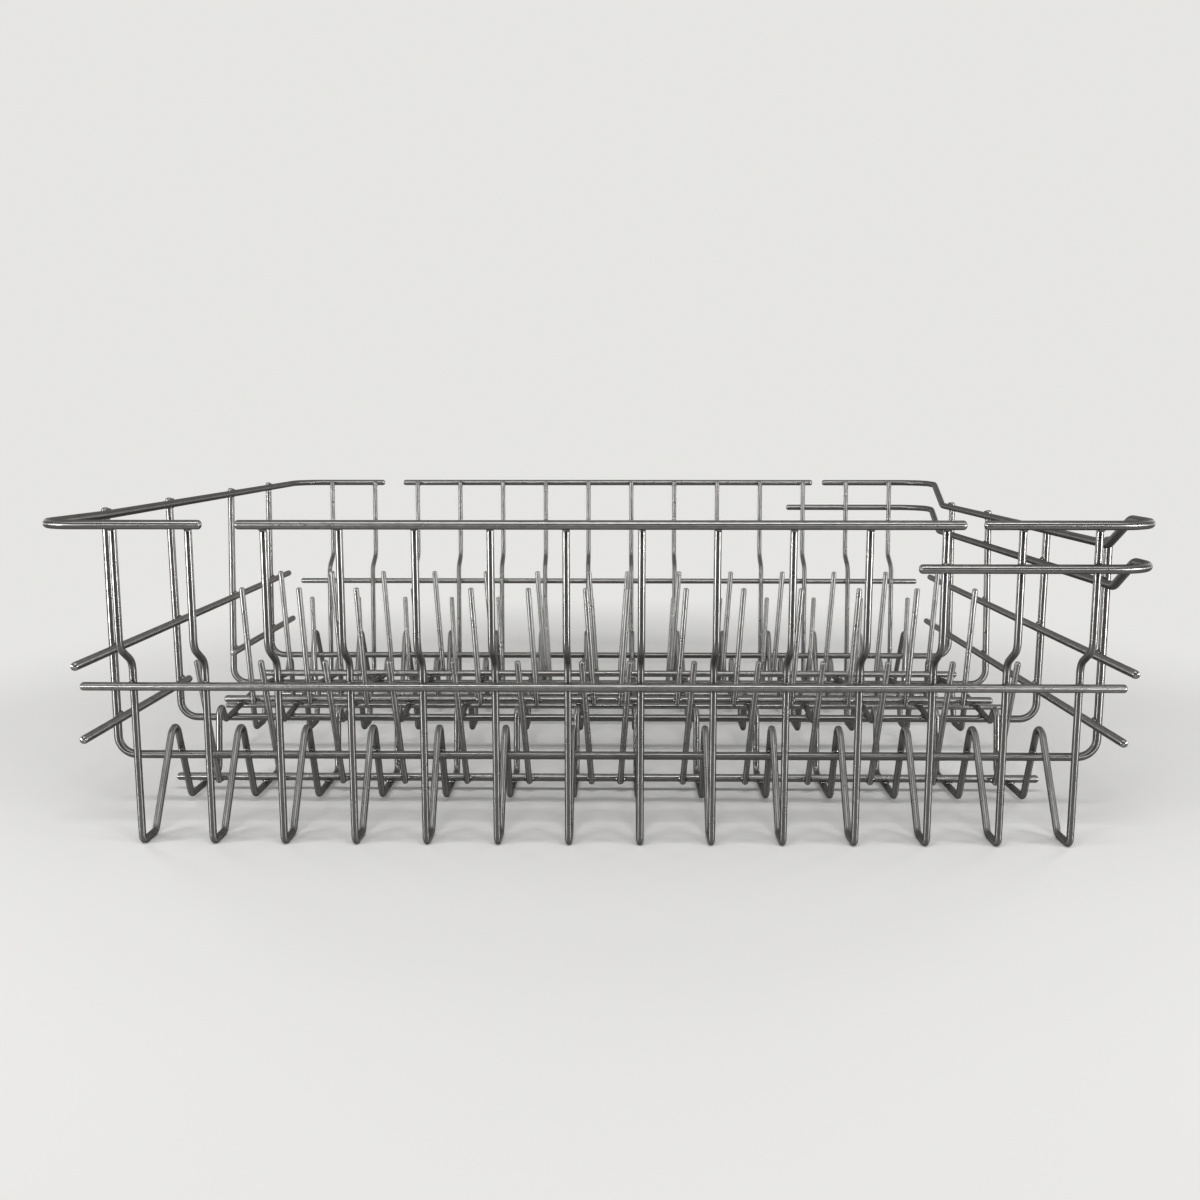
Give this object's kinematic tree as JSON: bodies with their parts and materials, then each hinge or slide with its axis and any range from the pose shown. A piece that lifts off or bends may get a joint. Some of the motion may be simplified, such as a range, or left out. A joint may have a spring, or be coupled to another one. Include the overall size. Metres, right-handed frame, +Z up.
{
  "type": "dishwasher basket",
  "caption": "Welded wire basket with stepped walls, a waved floor, end rims and rows of tines that hold plates and cups on edge in the upper level of a dishwasher",
  "frame": {"origin": "On the ground under the middle of the basket, which stands on the feet of its wave wires", "axes": "X along the two stepped walls with the stepped double rim at +X, Y from the near wall to the far wall, Z up"},
  "size_m": [0.529, 0.5028, 0.1645],
  "materials": {
    "wire": "glossy dark silver-grey coat"
  },
  "bodies": {
    "root": {"cradle_wire_inner_far": "wire", "cradle_wire_inner_near": "wire", "cradle_wire_outer_far": "wire", "cradle_wire_outer_near": "wire", "floor_wire_far": "wire", "floor_wire_near": "wire", "rim_far_centre": "wire", "rim_left_end": "wire", "rim_near_centre": "wire", "rim_right_end_lower": "wire", "rim_right_end_upper": "wire", "side_rail_left_lower_far": "wire", "side_rail_left_lower_near": "wire", "side_rail_left_middle": "wire", "side_rail_right_lower": "wire", "side_rail_right_middle": "wire", "tine_comb_inner_far": "wire", "tine_comb_inner_near": "wire", "tine_comb_outer_far": "wire", "tine_comb_outer_near": "wire", "wall_rail_far": "wire", "wall_rail_near": "wire", "wave_wire_01": "wire", "wave_wire_02": "wire", "wave_wire_03": "wire", "wave_wire_04": "wire", "wave_wire_05": "wire", "wave_wire_06": "wire", "wave_wire_07": "wire", "wave_wire_08": "wire", "wave_wire_09": "wire", "wave_wire_10": "wire", "wave_wire_11": "wire", "wave_wire_12": "wire", "wave_wire_13": "wire", "wave_wire_14": "wire"}
  },
  "joints": []
}
